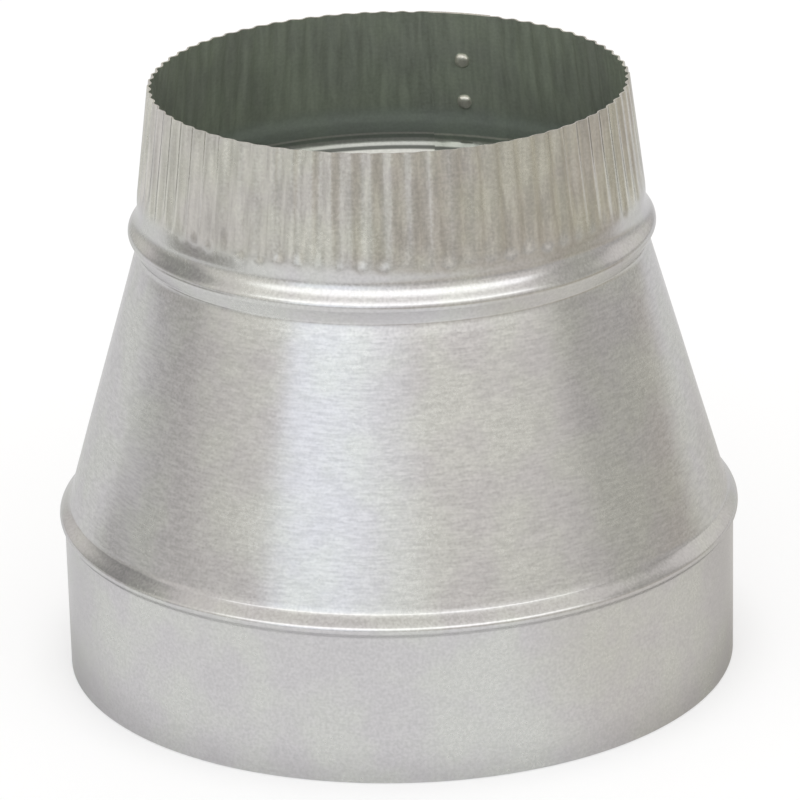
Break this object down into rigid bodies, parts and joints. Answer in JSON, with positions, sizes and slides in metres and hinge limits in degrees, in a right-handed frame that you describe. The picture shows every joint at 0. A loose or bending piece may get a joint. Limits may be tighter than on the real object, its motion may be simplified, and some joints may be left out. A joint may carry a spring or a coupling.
{
  "type": "duct reducer",
  "caption": "Round sheet-metal duct reducer: a wide plain collar, a rolled bead, a tapering cone, a second bead and a narrower crimped collar, closed by a riveted lap seam.",
  "frame": {"origin": "centre of the lower rim, on the duct axis", "axes": "+Z along the duct axis from the large end to the crimped small end, -Y towards the viewer"},
  "size_m": [0.2068, 0.2068, 0.1818],
  "materials": {
    "galvanised_sheet": "bright galvanised sheet, satin, with faint rolling streaks",
    "rivets": "zinc plated, satin"
  },
  "bodies": {
    "root": {"reducer_body": "galvanised_sheet", "seam_rivets": "rivets"}
  },
  "joints": []
}
